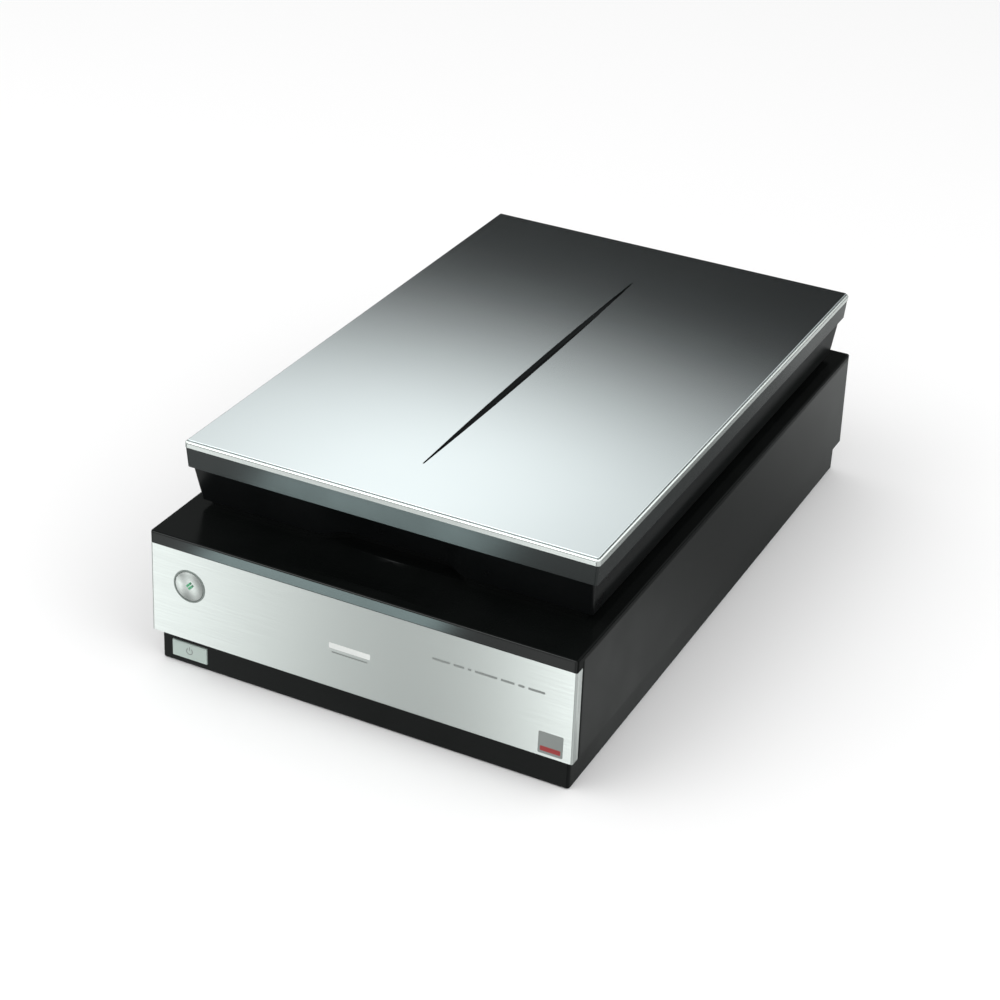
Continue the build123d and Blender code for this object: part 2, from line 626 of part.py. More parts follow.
def carriage_housing():
    box = block(CARRIAGE_X, CARRIAGE_Y, CARRIAGE_Z)
    box = fillet(box.edges().filter_by(Axis.Z), 4.0)
    box -= block(INNER_X, INNER_Y, (CARRIAGE_Z[0] + 2.2, 82.0))
    # open trough on top for the lamps, with the light slot through its floor
    box -= block((-112.0, 112.0), (HOME_Y - 22, HOME_Y + 22), (85.0, 110.0))
    box -= block((-108.0, 108.0), (HOME_Y - LIGHT_SLOT_HALF, HOME_Y + LIGHT_SLOT_HALF), (80.0, 110.0))
    box -= block((-108.0, 112.0), (CARRIAGE_Y[0] + 6, HOME_Y - 26), (94.0, 110.0))
    box -= block((-108.0, 112.0), (HOME_Y + 26, CARRIAGE_Y[1] - 6), (94.0, 110.0))
    for side_x in (-1, 1):
        for side_y in (-1, 1):
            x = sorted((side_x * (LAMP_HALF_L - 3), side_x * (LAMP_HALF_L + 5)))
            y = HOME_Y + side_y * LAMP_OFFSET
            box += block(x, (y - 4, y + 4), (84.9, 95.5))
            box -= bar_x((x[0] - 1, x[1] + 1), y, LAMP_Z, 1.6)
    # bushing carriers for the rod
    for y in ((CARRIAGE_Y[0], CARRIAGE_Y[0] + 16), (CARRIAGE_Y[1] - 16, CARRIAGE_Y[1])):
        box += block((CARRIAGE_X[0], ROD_X + 10), y, (CARRIAGE_Z[0], ROD_Z + 11))
    box -= bar_y(ROD_X, (CARRIAGE_Y[0] - 1, CARRIAGE_Y[1] + 1), ROD_Z, 7.0)
    # outrigger above the flat rail
    box += block((116.0, 131.0), (HOME_Y - 20, HOME_Y + 20), (RAIL_Z + 5, RAIL_Z + 9))
    # fork that grips the belt's outer run
    run_x = BELT_X - PULLEY_R - BELT_GAP - BELT_THICK / 2
    for side in (-1, 1):
        near = run_x + side * (BELT_THICK / 2 + MOVING_GAP)
        x = sorted((near, near + side * 2.2))
        box += block(x, (HOME_Y - 12, HOME_Y + 12), (BELT_Z[0], CARRIAGE_Z[0] + 0.5))
    return box


def carriage_bushes():
    bushes = Part()
    for y in ((CARRIAGE_Y[0] + 1, CARRIAGE_Y[0] + 14), (CARRIAGE_Y[1] - 14, CARRIAGE_Y[1] - 1)):
        bushes += bar_y(ROD_X, y, ROD_Z, 7.0) - bar_y(ROD_X, (y[0] - 1, y[1] + 1), ROD_Z, ROD_R + SHAFT_GAP)
    return bushes


def slide_pad():
    return block((122.0, 130.0), (HOME_Y - 15, HOME_Y + 15), (RAIL_Z + MOVING_GAP, RAIL_Z + 5))


def scan_lamps():
    lamps = Part()
    for side in (-1, 1):
        y = HOME_Y + side * LAMP_OFFSET
        lamps += bar_x((-LAMP_HALF_L, LAMP_HALF_L), y, LAMP_Z, 1.6)
    return lamps


def lamp_reflectors():
    reflectors = Part()
    for side in (-1, 1):
        y = HOME_Y + side * LAMP_OFFSET
        outer = bar_x((-102.0, 102.0), y, LAMP_Z, 4.2)
        shell = outer - bar_x((-103.0, 103.0), y, LAMP_Z, 3.7)
        keep = block((-103, 103), sorted((y, y + side * 6)), (86.0, 95.9))
        keep += block((-103, 103), (y - 6, y + 6), (86.0, LAMP_Z))
        reflectors += shell & keep
    return reflectors


def fold_mirrors():
    """Glass strips that fold the light path inside the carriage."""
    places = [(0.0, 50.0, 45.0), (-30.0, 52.0, -28.0), (-32.0, 72.0, -50.0), (22.0, 76.0, 12.0)]
    mirrors = Part()
    for behind, z, tilt in places:
        mirrors += Pos(4, HOME_Y + behind, z) * Rot(tilt, 0, 0) * Box(196.0, 12.0, 2.2)
    return mirrors


def lens(x, radius, length):
    y0 = HOME_Y + 12
    barrel = bar_y(x, (y0, y0 + length), 60.0, radius)
    barrel += bar_y(x, (y0 + 3, y0 + 6), 60.0, radius + 1.2)
    barrel -= bar_y(x, (y0 - 1, y0 + 1.5), 60.0, radius - 1.5)
    barrel += block((x - radius, x + radius), (y0 + 7, y0 + length - 1), (CARRIAGE_Z[0] + 2.2, 60.0))
    return barrel


def ccd_board():
    y = CARRIAGE_Y[1] - 8
    board = block((-60.0, 60.0), (y, y + 1.6), (44.0, 78.0))
    board += block((-38.0, 38.0), (y - 4, y), (56.0, 66.0))
    board += block((-50.0, -26.0), (y + 1.6, y + 5.4), (46.0, 52.0))
    return board


# ---- hinges --------------------------------------------------------------
def hinge_sockets():
    sockets = Part()
    for side in (-1, 1):
        x0 = side * HINGE_X
        inner_x = (x0 - LEG_HALF_W - MOVING_GAP, x0 + LEG_HALF_W + MOVING_GAP)
        inner_y = (LEG_Y[0] - MOVING_GAP, LEG_Y[1] + MOVING_GAP)
        outer_x = (inner_x[0] - 2, inner_x[1] + 2)
        tube = block(outer_x, (inner_y[0] - 2, CASE_REAR - WALL), (SOCKET_FLOOR, SIDE_TOP - 0.2))
        sockets += tube - block(inner_x, inner_y, (SOCKET_FLOOR + 2, SIDE_TOP + 1))
    return sockets


def hinge_leg(side):
    x0 = side * HINGE_X
    leg = block((x0 - LEG_HALF_W, x0 + LEG_HALF_W), LEG_Y, LEG_Z)
    hollow_x = (x0 - LEG_HALF_W + 3, x0 + LEG_HALF_W - 3)
    leg -= block(hollow_x, (LEG_Y[0] - 1, LEG_Y[0] + 6), (LEG_Z[0] + 4, LEG_Z[1] - 9))
    neck_x = (x0 - KNUCKLE_HALF_W, x0 + KNUCKLE_HALF_W)
    leg += block(neck_x, (LEG_Y[1] - 6, HINGE_Y + KNUCKLE_R), (LEG_Z[1] - 0.1, HINGE_Z))
    leg += bar_x(neck_x, HINGE_Y, HINGE_Z, KNUCKLE_R)
    leg -= bar_x((neck_x[0] - 1, neck_x[1] + 1), HINGE_Y, HINGE_Z, PIN_R)
    return leg


def hinge_pins():
    pins = Part()
    for side in (-1, 1):
        x0 = side * HINGE_X
        pin = bar_x((x0 - 11.5, x0 + 11.5), HINGE_Y, HINGE_Z, PIN_R)
        pins += chamfer(pin.edges(), 0.4)
    return pins


def hinge_brackets():
    """Ears on the pins, joined to a foot screwed down inside the lid."""
    brackets = Part()
    for side in (-1, 1):
        x0 = side * HINGE_X
        bracket = block((x0 - 22, x0 + 22), (200.0, 221.0), (LID_BOTTOM + WALL, LID_BOTTOM + WALL + 2))
        for ear in (-1, 1):
            x = sorted((x0 + ear * (KNUCKLE_HALF_W + MOVING_GAP), x0 + ear * (KNUCKLE_HALF_W + 4)))
            bracket += bar_x(x, HINGE_Y, HINGE_Z, KNUCKLE_R - 0.6)
            bracket += block(x, (202.0, HINGE_Y), (HINGE_Z, HINGE_Z + KNUCKLE_R - 0.6))
            bracket += block(x, (202.0, 221.0), (LID_BOTTOM + WALL, HINGE_Z + 4))
        bracket -= bar_x((x0 - 12, x0 + 12), HINGE_Y, HINGE_Z, PIN_R + SHAFT_GAP)
        brackets += bracket
    return brackets


# ---- lid -----------------------------------------------------------------
LID_POSTS = [(sx * 130.0, y) for sx in (-1, 1) for y in (-190.0, 222.0)]
LID_POST_R = 4.5
LID_POST_TOP = 128.0
ARCH_REACH = 30.0


def skirt_bay(depth, mouth):
    """The bay pressed into the front skirt, leaning back with it."""
    front = LID_FRONT + BAND_STEP + mouth
    faces = [bay(front + SKIRT_TAPER_Y, depth, LID_BOTTOM), bay(front, depth, BAND_BOTTOM)]
    return loft(faces, ruled=True)


def arch_tool():
    """The raised lower edge of the front skirt, with S-shaped ends."""
    low = LID_BOTTOM - 0.05
    edges = s_curve(BAY_HALF_FLAT, BAY_HALF_FOOT, low, LID_BOTTOM + ARCH_RISE)
    foot = BAY_HALF_FOOT
    edges.append(Polyline((foot, low), (foot, low - 5), (-foot, low - 5), (-foot, low)))
    return Pos(0, LID_FRONT, 0) * extrude(Plane.XZ * make_face(edges), -ARCH_REACH)


def lid_lower_case():
    high = (LID_HALF_W - BAND_STEP, (LID_FRONT + BAND_STEP, LID_REAR - BAND_STEP), BAND_BOTTOM)
    low = (high[0] - SKIRT_TAPER_X, (high[1][0] + SKIRT_TAPER_Y, high[1][1] - SKIRT_TAPER_Y), LID_BOTTOM)
    case = tapered(low, high, CORNER_R)
    inner_high = (high[0] - WALL, (high[1][0] + WALL, high[1][1] - WALL), BAND_BOTTOM + 0.5)
    inner_low = (low[0] - WALL, (low[1][0] + WALL, low[1][1] - WALL), LID_BOTTOM + WALL)
    case -= tapered(inner_low, inner_high, 1.0)
    # finger bay with its wall, and the thicker floor over the raised edge
    backing_x = (-BAY_HALF_FOOT - 3, BAY_HALF_FOOT + 3)
    backing = block(backing_x, (high[1][0] + 1, low[1][0] + BAY_DEPTH + WALL), (LID_BOTTOM, BAND_BOTTOM))
    case += backing & tapered(low, high, CORNER_R)
    floor_y = (low[1][0] + 1, LID_FRONT + ARCH_REACH + 1)
    case += block(backing_x, floor_y, (LID_BOTTOM, LID_BOTTOM + ARCH_RISE + WALL))
    case -= skirt_bay(BAY_DEPTH, 0)
    case -= arch_tool()
    # recess that holds the document mat, and the film window above it
    wall = 2.0
    case += block((-RECESS_HALF_W - wall, RECESS_HALF_W + wall), (RECESS_Y[0] - wall, RECESS_Y[1] + wall),
                  (LID_BOTTOM, RECESS_TOP + wall))
    case -= block((-RECESS_HALF_W, RECESS_HALF_W), RECESS_Y, (LID_BOTTOM - 1, RECESS_TOP))
    case -= slab(FILM_WINDOW_HALF_W, FILM_WINDOW_Y, (LID_BOTTOM, RECESS_TOP + wall + 1), 3.0)
    for x, y in LID_POSTS:
        case += disc(x, y, (LID_BOTTOM, LID_POST_TOP), LID_POST_R)
        case -= disc(x, y, (LID_BOTTOM - 1, LID_BOTTOM + WALL), 3.3)
        case -= disc(x, y, (LID_BOTTOM - 1, LID_POST_TOP + 1), 1.7)
    case += film_guides()
    # slots for the hinge ears
    for side in (-1, 1):
        x0 = side * HINGE_X
        half = KNUCKLE_HALF_W + 4.5
        case -= block((x0 - half, x0 + half), (LID_REAR - 14, LID_REAR + 1), (HINGE_Z - 8.0, HINGE_Z + 8.6))
    return case


def lid_upper_case():
    low = (LID_HALF_W, (LID_FRONT, LID_REAR), BAND_BOTTOM)
    high = (LID_HALF_W + BAND_FLARE, (LID_FRONT - BAND_FLARE, LID_REAR + BAND_FLARE), TRIM_BOTTOM)
    case = tapered(low, high, CORNER_R)
    inner = 4.0
    inner_y = (LID_FRONT + inner, LID_REAR - inner)
    case -= slab(LID_HALF_W - inner, inner_y, (BAND_BOTTOM - 1, TRIM_BOTTOM - 2), 1.0)
    slot_y = (SLOT_Y[0] - 4, SLOT_Y[1] + 4)
    case -= block((-6.0, 6.0), slot_y, (TRIM_BOTTOM - 3, TRIM_BOTTOM + 1))
    for x, y in LID_POSTS:
        case += disc(x, y, (LID_POST_TOP, TRIM_BOTTOM - 1), LID_POST_R)
        case -= disc(x, y, (LID_POST_TOP - 1, LID_POST_TOP + 13), 1.52)
    return case


def lid_edge_trim():
    """The bright rounded frame that the top plate sits in."""
    half_w = LID_HALF_W + TRIM_OUT
    outer_y = (LID_FRONT - TRIM_OUT, LID_REAR + TRIM_OUT)
    trim = slab(half_w, outer_y, (TRIM_BOTTOM, TRIM_TOP), CORNER_R + 0.5)
    trim = fillet(trim.edges().group_by(Axis.Z)[-1], 1.3)
    edge = TRIM_GROOVE - PLATE_INSET
    trim -= slab(LID_HALF_W + edge, (LID_FRONT - edge, LID_REAR + edge), (TRIM_BOTTOM - 1, TRIM_TOP + 1), 1.2)
    return trim


def slot_outline(grow):
    """A long lens with small round tips."""
    half_l = (SLOT_Y[1] - SLOT_Y[0]) / 2 + 4 * grow
    half_w = SLOT_HALF_W + grow
    tip = SLOT_TIP + grow
    right = ThreePointArc((tip, -half_l), (half_w, 0), (tip, half_l))
    left = ThreePointArc((-tip, half_l), (-half_w, 0), (-tip, -half_l))
    rear = ThreePointArc((tip, half_l), (0, half_l + tip), (-tip, half_l))
    front = ThreePointArc((-tip, -half_l), (0, -half_l - tip), (tip, -half_l))
    return Pos(0, (SLOT_Y[0] + SLOT_Y[1]) / 2) * make_face([right, rear, left, front])


def lid_top_plate():
    half_w = LID_HALF_W - PLATE_INSET
    plate = slab(half_w, (LID_FRONT + PLATE_INSET, LID_REAR - PLATE_INSET), (TRIM_BOTTOM, HEIGHT), 1.0)
    plate = fillet(plate.edges().group_by(Axis.Z)[-1], 0.5)
    plate -= Pos(0, 0, TRIM_BOTTOM - 1) * extrude(slot_outline(0), 10)
    return plate


def lid_slot_insert():
    floor_y = (SLOT_Y[0] - 3.8, SLOT_Y[1] + 3.8)
    insert = block((-5.8, 5.8), floor_y, (TRIM_BOTTOM - 2, TRIM_BOTTOM))
    height = HEIGHT - SLOT_DROP - TRIM_BOTTOM
    insert += Pos(0, 0, TRIM_BOTTOM - 0.5) * extrude(slot_outline(-0.08), height + 0.5)
    return insert


def lid_screws():
    screws = Part()
    seat = LID_BOTTOM + WALL
    for x, y in LID_POSTS:
        screw = disc(x, y, (seat - 2, seat), 3.0)
        screw += disc(x, y, (seat, LID_POST_TOP + 12), 1.5)
        screw -= block((x - 1.8, x + 1.8), (y - 0.4, y + 0.4), (seat - 3, seat - 1.2))
        screw -= block((x - 0.4, x + 0.4), (y - 1.8, y + 1.8), (seat - 3, seat - 1.2))
        screws += screw
    return screws


def document_mat():
    mat = slab(MAT_HALF_W, MAT_Y, MAT_Z, 3.0)
    mat = fillet(mat.edges().group_by(Axis.Z)[0], 0.8)
    # thumb notch at the front edge
    mat -= Pos(0, MAT_Y[0] - 10, (MAT_Z[0] + MAT_Z[1]) / 2) * Cylinder(16.0, 20.0)
    return mat


def film_window():
    y = (FILM_WINDOW_Y[0] - 7, FILM_WINDOW_Y[1] + 7)
    return slab(FILM_WINDOW_HALF_W + 7, y, (RECESS_TOP + 2.0, RECESS_TOP + 4.0), 2.0)


def film_rod():
    return bar_y(FILM_ROD_X, (-190.0, 196.0), FILM_ROD_Z, FILM_ROD_R)


def film_guides():
    """Rod clips, slide rail and idler post, moulded on the lid's floor."""
    floor = LID_BOTTOM + WALL - 0.5
    guides = Part()
    for y in ((-190.0, -184.0), (190.0, 196.0)):
        clip = block((FILM_ROD_X - 6, FILM_ROD_X + 6), y, (floor, FILM_ROD_Z + 6))
        guides += clip - bar_y(FILM_ROD_X, (y[0] - 1, y[1] + 1), FILM_ROD_Z, FILM_ROD_R)
    guides += block((123.0, 130.0), (-180.0, 196.0), (118.0, 120.0))
    guides += block((128.0, 130.0), (-180.0, 196.0), (floor, 120.0))
    guides += disc(FILM_BELT_X, FILM_PULLEY_Y[0], (floor, FILM_BELT_Z[1] + 2.5), SHAFT_R)
    guides += disc(FILM_BELT_X, FILM_PULLEY_Y[0], (floor, FILM_BELT_Z[0] - 1.5), 4.5)
    return guides


FILM_CARRIAGE_Y = (FILM_HOME_Y - 24.0, FILM_HOME_Y + 24.0)
FILM_CARRIAGE_Z = (117.5, 142.0)


def film_carriage():
    box = block((-108.0, 112.0), FILM_CARRIAGE_Y, FILM_CARRIAGE_Z)
    box = fillet(box.edges().filter_by(Axis.Z), 3.0)
    box -= block((-92.0, 109.0), (FILM_CARRIAGE_Y[0] + 3, FILM_CARRIAGE_Y[1] - 3), (110.0, 138.0))
    box -= bar_y(FILM_ROD_X, (0, 300), FILM_ROD_Z, FILM_ROD_R + SHAFT_GAP)
    box += block((110.0, 129.5), (FILM_HOME_Y - 10, FILM_HOME_Y + 10), (120.0 + MOVING_GAP, 124.0))
    # arm and fork to the belt's inner run
    run_x = FILM_BELT_X + FILM_PULLEY_R + BELT_GAP + 0.5
    for side in (-1, 1):
        near = run_x + side * (0.5 + MOVING_GAP)
        x = sorted((near, near + side * 1.8))
        box += block(x, (FILM_HOME_Y - 8, FILM_HOME_Y + 8), (FILM_BELT_Z[0], 136.0))
    box += block((run_x - 2.6, -107.0), (FILM_HOME_Y - 8, FILM_HOME_Y + 8), (FILM_BELT_Z[1] + 0.5, 136.0))
    return box


def film_lamp():
    return bar_x((-84.0, 102.0), FILM_HOME_Y, 126.0, 1.8)


def film_belt():
    radius = FILM_PULLEY_R + BELT_GAP
    ends = [(FILM_BELT_X, FILM_PULLEY_Y[0], radius), (FILM_BELT_X, FILM_PULLEY_Y[1], radius)]
    return belt(ends, 1.0, FILM_BELT_Z)


def film_pulley(y, shaft_low):
    wheel = toothed(FILM_PULLEY_R, (FILM_BELT_Z[0] - 1, FILM_BELT_Z[1] + 1), 14)
    for z in (FILM_BELT_Z[0] - 1, FILM_BELT_Z[1] + 0.3):
        wheel += disc(0, 0, (z, z + 0.7), FILM_PULLEY_R + 1.6)
    if shaft_low:
        wheel += disc(0, 0, (shaft_low, FILM_BELT_Z[0]), 1.5)
    else:
        wheel -= disc(0, 0, (100, 150), SHAFT_R + SHAFT_GAP)
    return Pos(FILM_BELT_X, y, 0) * wheel


def film_motor():
    y = FILM_PULLEY_Y[1]
    body = disc(FILM_BELT_X, y, (LID_BOTTOM + WALL, 125.0), 11.5)
    body = fillet(body.edges(), 0.8)
    return body - disc(FILM_BELT_X, y, (114.0, 130.0), 2.0)


NODES = {
    "lower_case": lower_case,
    "top_cover": top_cover,
    "front_fascia": front_fascia,
    "start_button_bezel": start_button_bezel,
    "start_button": start_button,
    "power_button": power_button,
    "control_board": control_board,
    "rubber_feet": rubber_feet,
    "case_screws": case_screws,
    "platen_glass": platen_glass,
    "calibration_strip": calibration_strip,
    "guide_rod": guide_rod,
    "rod_saddles": rod_saddles,
    "guide_rail": guide_rail,
    "drive_belt": drive_belt,
    "reduction_belt": reduction_belt,
    "drive_pulley": drive_pulley,
    "idler_pulley": idler_pulley,
    "motor_pulley": motor_pulley,
    "pulley_shafts": pulley_shafts,
    "motor_bracket": motor_bracket,
    "stepper_motor": stepper_motor,
    "tension_bracket": tension_bracket,
    "tension_spring": tension_spring,
    "main_board": main_board,
    "usb_port": usb_port,
    "firewire_ports": firewire_ports,
    "dc_jack": dc_jack,
    "film_unit_port": film_unit_port,
    "transport_lock": transport_lock,
    "carriage_housing": carriage_housing,
    "carriage_bushes": carriage_bushes,
    "slide_pad": slide_pad,
    "scan_lamps": scan_lamps,
    "lamp_reflectors": lamp_reflectors,
    "fold_mirrors": fold_mirrors,
    "wide_lens": lambda: lens(-34.0, 9.0, 16.0),
    "film_lens": lambda: lens(30.0, 12.0, 18.0),
    "ccd_board": ccd_board,
    "hinge_sockets": hinge_sockets,
    "hinge_leg_left": lambda: hinge_leg(-1),
    "hinge_leg_right": lambda: hinge_leg(1),
    "hinge_pins": hinge_pins,
    "hinge_brackets": hinge_brackets,
    "lid_lower_case": lid_lower_case,
    "lid_upper_case": lid_upper_case,
    "lid_edge_trim": lid_edge_trim,
    "lid_top_plate": lid_top_plate,
    "lid_slot_insert": lid_slot_insert,
    "lid_screws": lid_screws,
    "document_mat": document_mat,
    "film_window": film_window,
    "film_rod": film_rod,
    "film_carriage": film_carriage,
    "film_lamp": film_lamp,
    "film_belt": film_belt,
    "film_drive_pulley": lambda: film_pulley(FILM_PULLEY_Y[1], 115.0),
    "film_idler_pulley": lambda: film_pulley(FILM_PULLEY_Y[0], None),
    "film_motor": film_motor,
}

os.makedirs("parts", exist_ok=True)
for name, make in NODES.items():
    export_step(make(), f"parts/{name}.step")
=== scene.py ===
import json
import math
import random

import bmesh
import bpy
from mathutils import Matrix, Vector


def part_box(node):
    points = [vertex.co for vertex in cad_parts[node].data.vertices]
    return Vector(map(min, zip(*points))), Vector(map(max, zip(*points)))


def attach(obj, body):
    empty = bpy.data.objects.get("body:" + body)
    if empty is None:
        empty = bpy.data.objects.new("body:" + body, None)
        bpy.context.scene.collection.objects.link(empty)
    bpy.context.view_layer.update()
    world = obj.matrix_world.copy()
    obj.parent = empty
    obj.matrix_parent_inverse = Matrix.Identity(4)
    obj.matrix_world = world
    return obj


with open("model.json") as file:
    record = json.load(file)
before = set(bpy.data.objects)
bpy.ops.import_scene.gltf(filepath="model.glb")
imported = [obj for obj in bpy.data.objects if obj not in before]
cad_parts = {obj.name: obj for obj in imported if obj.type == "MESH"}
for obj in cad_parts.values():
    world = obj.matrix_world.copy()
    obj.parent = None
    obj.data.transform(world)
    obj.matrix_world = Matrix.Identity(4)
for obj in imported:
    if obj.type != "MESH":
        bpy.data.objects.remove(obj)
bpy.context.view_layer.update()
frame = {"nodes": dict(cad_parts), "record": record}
random.seed(7)

MM = 0.001


# ---- camera --------------------------------------------------------------
CAMERA_POINT = Vector((0.596, -1.311, 0.853))
CAMERA_TARGET = Vector((0.038, -0.128, 0.118))
CAMERA_LENS = 82.4
CAMERA_ROLL = math.radians(2.8)


def make_camera():
    data = bpy.data.cameras.new("camera")
    data.lens = CAMERA_LENS
    data.sensor_width = 36.0
    data.clip_start = 0.05
    data.clip_end = 50.0
    camera = bpy.data.objects.new("camera", data)
    bpy.context.scene.collection.objects.link(camera)
    forward = (CAMERA_TARGET - CAMERA_POINT).normalized()
    level_right = forward.cross(Vector((0, 0, 1))).normalized()
    level_up = level_right.cross(forward)
    right = level_right * math.cos(CAMERA_ROLL) + level_up * math.sin(CAMERA_ROLL)
    up = level_up * math.cos(CAMERA_ROLL) - level_right * math.sin(CAMERA_ROLL)
    turn = Matrix((right, up, -forward)).transposed()
    camera.matrix_world = Matrix.Translation(CAMERA_POINT) @ turn.to_4x4()
    bpy.context.scene.camera = camera


make_camera()


# ---- light and floor -----------------------------------------------------
# Directions are in degrees: azimuth 0 points along +Y and grows towards +X.
# Soft lamps that only glossy surfaces see:
# azimuth, elevation, width across, width up and down, strength
STUDIO_LAMPS = [
    (-143.0, -31.0, 4.0, 7.0, 1.05),
    (-158.8, -31.0, 2.1, 7.0, 1.45),
    (-151.0, -32.0, 14.0, 7.0, 0.38),
    (-137.0, -52.0, 5.0, 5.0, 2.4),
    (13.0, -24.0, 4.5, 2.8, 1.2),
    (24.5, -32.5, 2.4, 2.6, 1.1),
    (-143.0, 50.0, 8.0, 8.0, 4.0),
    (26.0, 28.0, 5.0, 5.0, 1.5),
]
# the soft ceiling: its lower edge is tilted, and it fades to either side of its middle
SKY_START = 23.7
SKY_FULL = 28.9
SKY_STRENGTH = 1.2
SKY_MIDDLE = -24.5
SKY_TILT = 0.186
SKY_LEAN = -1.05
SKY_WIDTH = 4.6
SKY_SIDES = 0.55
SKY_REACH = 10.0
DIM_STRENGTH = 0.02
# an even room glow that black flags keep off the front, the right side and the lid:
# azimuth, elevation, half width, half height
ROOM_STRENGTH = 0.5
FLAGS = [(-25.0, 24.0, 24.0, 13.0), (-151.0, -34.0, 22.0, 14.0), (18.0, -29.0, 16.0, 13.0)]
FLAG_OUTSIDE = -1.6
FLAG_INSIDE = -0.5
GLOSSY_TINT = (0.97, 1.0, 0.99, 1)
SOFT_STRENGTH = 0.95
KEY_POWER = 14.0
FILL_POWER = 8.0
CARD_POINT = (-0.10, -0.385, 0.004)
CARD_POWER = 0.19
CARD_TINT = (0.74, 1.0, 1.0)
FLOOR_HALF = 8.0
FLOOR_TONE = (0.9, 0.9, 0.9, 1)


class Nodes:
    """A small helper that adds and links shader nodes."""

    def __init__(self, tree):
        self.tree = tree
        tree.nodes.clear()

    def add(self, kind, settings=None, **inputs):
        node = self.tree.nodes.new(kind)
        for key, value in (settings or {}).items():
            setattr(node, key, value)
        for key, value in inputs.items():
            by_number = key[1:].isdigit()
            socket = node.inputs[int(key[1:]) if by_number else key.replace("_", " ")]
            self.set(socket, value)
        return node

    def set(self, socket, value):
        if isinstance(value, bpy.types.NodeSocket):
            self.tree.links.new(value, socket)
        else:
            socket.default_value = value

    def math(self, operation, a, b=0.0, clamp=False):
        node = self.add("ShaderNodeMath", {"operation": operation, "use_clamp": clamp}, i0=a, i1=b)
        return node.outputs[0]

    def ramp(self, value, low, high, to_low, to_high, smooth=False):
        kind = "SMOOTHSTEP" if smooth else "LINEAR"
        node = self.add("ShaderNodeMapRange", {"interpolation_type": kind, "clamp": True})
        for socket, number in zip(node.inputs[:5], (value, low, high, to_low, to_high)):
            self.set(socket, number)
        return node.outputs[0]

    def mix(self, factor, a, b):
        node = self.add("ShaderNodeMix", {"data_type": "RGBA"})
        self.set(node.inputs[0], factor)
        self.set(node.inputs[6], a)
        self.set(node.inputs[7], b)
        return node.outputs[2]


def bell(n, value, centre, width):
    """Minus half the squared distance from centre, in widths."""
    away = n.math("DIVIDE", n.math("SUBTRACT", value, centre), width)
    return n.math("MULTIPLY", n.math("MULTIPLY", away, away), -0.5)


def patch(n, azimuth, elevation, middle_azimuth, middle_elevation, across, up):
    """How far a direction is from the middle of a patch, as minus half the squared distance."""
    sideways = bell(n, azimuth, middle_azimuth, across)
    return n.math("ADD", sideways, bell(n, elevation, middle_elevation, up))


def make_world():
    world = bpy.data.worlds.new("studio")
    world.use_nodes = True
    bpy.context.scene.world = world
    n = Nodes(world.node_tree)
    toward = n.add("ShaderNodeTexCoord").outputs["Generated"]
    x, y, z = n.add("ShaderNodeSeparateXYZ", Vector=toward).outputs
    elevation = n.math("DEGREES", n.math("ARCSINE", z))
    azimuth = n.math("DEGREES", n.math("ARCTAN2", x, y))
    aside = n.math("MAXIMUM", n.math("SUBTRACT", azimuth, SKY_MIDDLE), -SKY_REACH)
    aside = n.math("MINIMUM", aside, SKY_REACH)
    level = n.math("SUBTRACT", elevation, n.math("MULTIPLY", aside, SKY_TILT))
    centre = n.math("MULTIPLY", n.math("SUBTRACT", level, (SKY_START + SKY_FULL) / 2), SKY_LEAN)
    middle_light = n.math("EXPONENT", bell(n, n.math("SUBTRACT", aside, centre), 0.0, SKY_WIDTH))
    share = n.ramp(middle_light, 0.0, 1.0, SKY_SIDES, 1.0)
    sky = n.ramp(level, SKY_START, SKY_FULL, 0.0, SKY_STRENGTH, smooth=True)
    total = n.math("ADD", n.math("MULTIPLY", sky, share), DIM_STRENGTH)
    shade = -100.0
    for flag in FLAGS:
        shade = n.math("MAXIMUM", patch(n, azimuth, elevation, *flag), shade)
    room = n.ramp(shade, FLAG_OUTSIDE, FLAG_INSIDE, ROOM_STRENGTH, 0.0, smooth=True)
    total = n.math("ADD", total, room)
    for *lamp, strength in STUDIO_LAMPS:
        fall = patch(n, azimuth, elevation, *lamp)
        total = n.math("ADD", total, n.math("MULTIPLY", n.math("EXPONENT", fall), strength))
    glossy = n.add("ShaderNodeBackground", Color=GLOSSY_TINT, Strength=total)
    soft = n.add("ShaderNodeBackground", Color=(1, 1, 1, 1), Strength=SOFT_STRENGTH)
    rays = n.add("ShaderNodeLightPath")
    chosen = n.add("ShaderNodeMixShader", i0=rays.outputs["Is Glossy Ray"], i1=soft.outputs[0],
                   i2=glossy.outputs[0])
    n.add("ShaderNodeOutputWorld", Surface=chosen.outputs[0])


def area_light(name, point, target, width, height, power):
    data = bpy.data.lights.new(name, "AREA")
    data.shape = "RECTANGLE"
    data.size = width
    data.size_y = height
    data.energy = power
    light = bpy.data.objects.new(name, data)
    bpy.context.scene.collection.objects.link(light)
    light.location = point
    light.rotation_mode = "QUATERNION"
    light.rotation_quaternion = (Vector(target) - Vector(point)).to_track_quat("-Z", "Y")
    light.visible_glossy = False
    return light


def front_card():
    """A small glowing card on the floor in front, seen only by the lid's band and the cover."""
    above = (CARD_POINT[0], CARD_POINT[1], 1.0)
    card = area_light("card", CARD_POINT, above, 0.20, 0.06, CARD_POWER)
    card.data.color = CARD_TINT
    card.visible_glossy = True
    card.visible_camera = False
    seen_in = bpy.data.collections.new("card_receivers")
    for name in ("lid_upper_case", "top_cover"):
        seen_in.objects.link(frame["nodes"][name])
    card.light_linking.receiver_collection = seen_in


